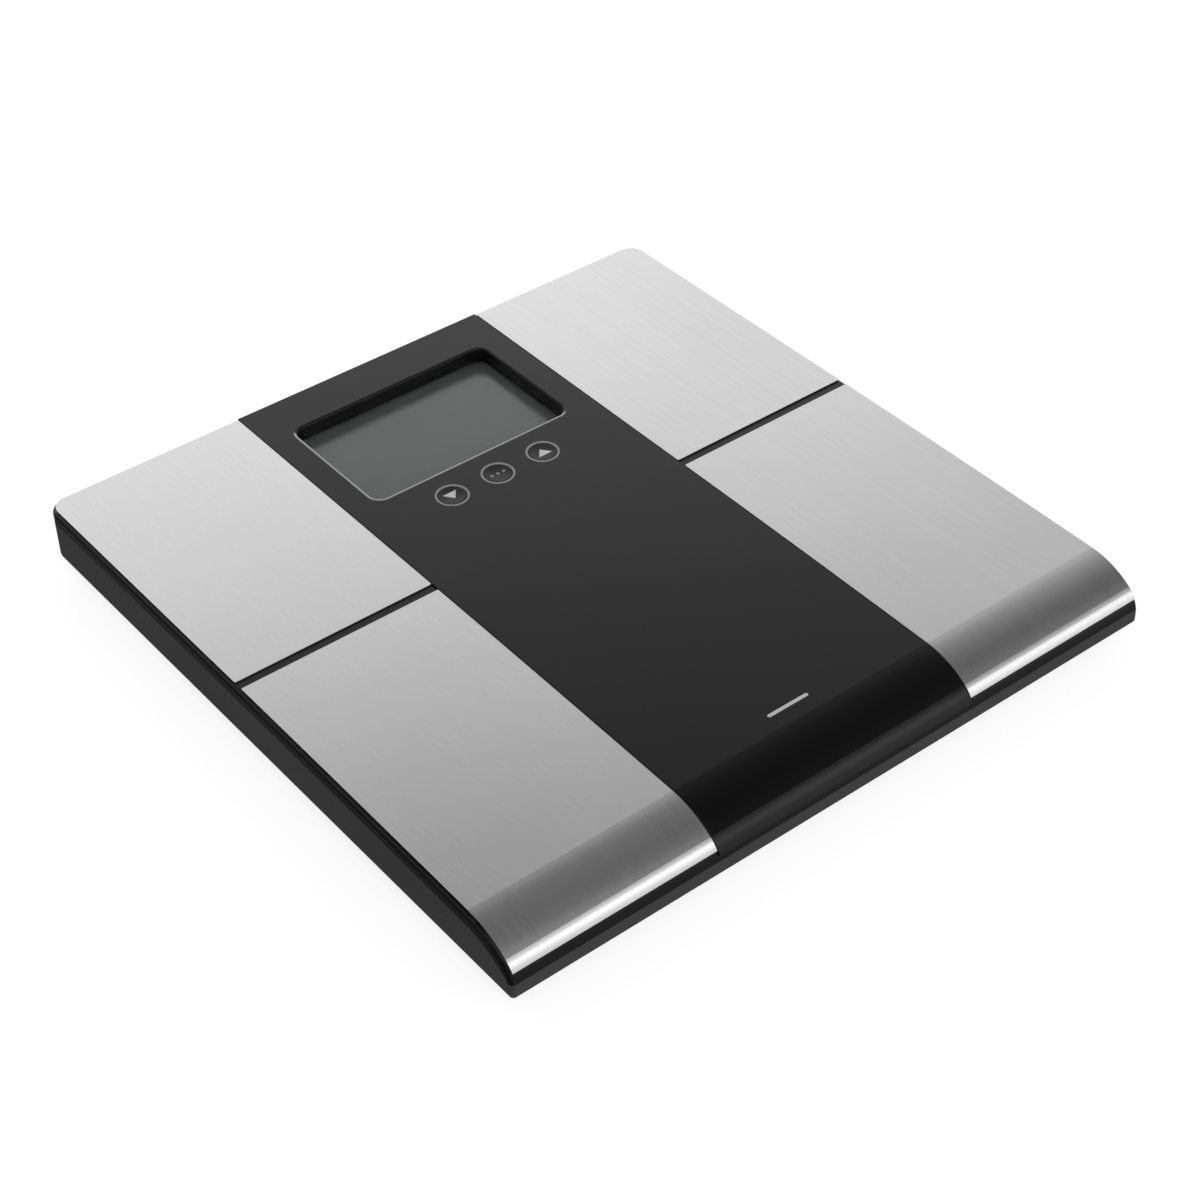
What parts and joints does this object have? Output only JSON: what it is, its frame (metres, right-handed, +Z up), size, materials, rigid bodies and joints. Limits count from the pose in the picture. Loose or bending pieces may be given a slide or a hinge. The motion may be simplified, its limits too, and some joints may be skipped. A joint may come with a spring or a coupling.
{
  "type": "digital bathroom scale",
  "caption": "Flat electronic bathroom scale with steel foot electrodes, a sunken display, round keys and a rolled front edge.",
  "frame": {"origin": "on the floor, under the middle of the body", "axes": "+X to the user's right when facing the display, +Y towards the display end, +Z up"},
  "size_m": [0.313, 0.3186, 0.032],
  "materials": {
    "brushed_plate": "fine brushed stainless sheet",
    "black_shell": "satin black ABS",
    "charcoal_base": "fine-textured charcoal ABS",
    "adhesive_film": "double-sided film",
    "lens": "clear window",
    "lcd_glass": "grey LCD glass",
    "backlight": "white diffuser",
    "white_plastic": "natural ABS",
    "pink_rubber": "elastomer",
    "circuit_board": "solder-masked board",
    "chip_black": "moulded epoxy",
    "ribbon": "flat cable",
    "ring_light": "light grey trim",
    "key_black": "satin black",
    "plunger": "white plastic",
    "gauge_seal": "sealing compound",
    "nickel": "nickel-plated spring steel",
    "zinc_screw": "zinc-plated",
    "brass_contact": "brass",
    "wire_red": "PVC insulation",
    "wire_white": "PVC insulation",
    "cell_steel": "ground alloy steel",
    "pad_rubber": "soft rubber",
    "battery_jacket": "plain printed jacket"
  },
  "bodies": {
    "scale_body": {"base_tray": "charcoal_base", "battery_1": "battery_jacket", "battery_2": "battery_jacket", "battery_3": "battery_jacket", "battery_4": "battery_jacket", "battery_contacts": "nickel", "battery_wires": "wire_red", "board_components": "chip_black", "board_screws": "zinc_screw", "carrier_screws": "zinc_screw", "case_screws": "zinc_screw", "cell_wires": "wire_white", "display_lens": "lens", "electrode_contacts": "brass_contact", "electrode_wires": "wire_red", "front_left_cell_carrier": "white_plastic", "front_left_foot": "charcoal_base", "front_left_foot_pad": "pad_rubber", "front_left_load_cell": "cell_steel", "front_left_plate": "brushed_plate", "front_right_cell_carrier": "white_plastic", "front_right_foot": "charcoal_base", "front_right_foot_pad": "pad_rubber", "front_right_load_cell": "cell_steel", "front_right_plate": "brushed_plate", "key_board": "circuit_board", "key_ribbon": "ribbon", "key_rings": "ring_light", "key_switches": "chip_black", "lcd_backlight": "backlight", "lcd_holder": "white_plastic", "lcd_panel": "lcd_glass", "main_board": "circuit_board", "plate_adhesive": "adhesive_film", "platform_shell": "black_shell", "rear_left_cell_carrier": "white_plastic", "rear_left_foot": "charcoal_base", "rear_left_foot_pad": "pad_rubber", "rear_left_load_cell": "cell_steel", "rear_left_plate": "brushed_plate", "rear_right_cell_carrier": "white_plastic", "rear_right_foot": "charcoal_base", "rear_right_foot_pad": "pad_rubber", "rear_right_load_cell": "cell_steel", "rear_right_plate": "brushed_plate", "shell_ribs": "black_shell", "strain_gauges": "gauge_seal", "unit_switch": "chip_black", "zebra_strip": "pink_rubber"},
    "down_key": {"down_key": "key_black", "down_switch_plunger": "plunger"},
    "set_key": {"set_key": "key_black", "set_switch_plunger": "plunger"},
    "up_key": {"up_key": "key_black", "up_switch_plunger": "plunger"},
    "unit_button": {"unit_button": "black_shell"},
    "battery_door": {"battery_door": "charcoal_base"}
  },
  "joints": [
    {"name": "down_key_press", "type": "slide", "parent": "scale_body", "child": "down_key", "axis": [0, 0, -1], "range_m": [0, 0.0006], "stiffness_N_per_m": 2000},
    {"name": "set_key_press", "type": "slide", "parent": "scale_body", "child": "set_key", "axis": [0, 0, -1], "range_m": [0, 0.0006], "stiffness_N_per_m": 2000},
    {"name": "up_key_press", "type": "slide", "parent": "scale_body", "child": "up_key", "axis": [0, 0, -1], "range_m": [0, 0.0006], "stiffness_N_per_m": 2000},
    {"name": "unit_button_press", "type": "slide", "parent": "scale_body", "child": "unit_button", "axis": [0, 0, 1], "range_m": [0, 0.0005], "stiffness_N_per_m": 2000},
    {"name": "battery_door_hinge", "type": "hinge", "parent": "scale_body", "child": "battery_door", "pos_m": [0, -0.0618, 0.0092], "axis": [-1, 0, 0], "range_deg": [0, 75]}
  ]
}
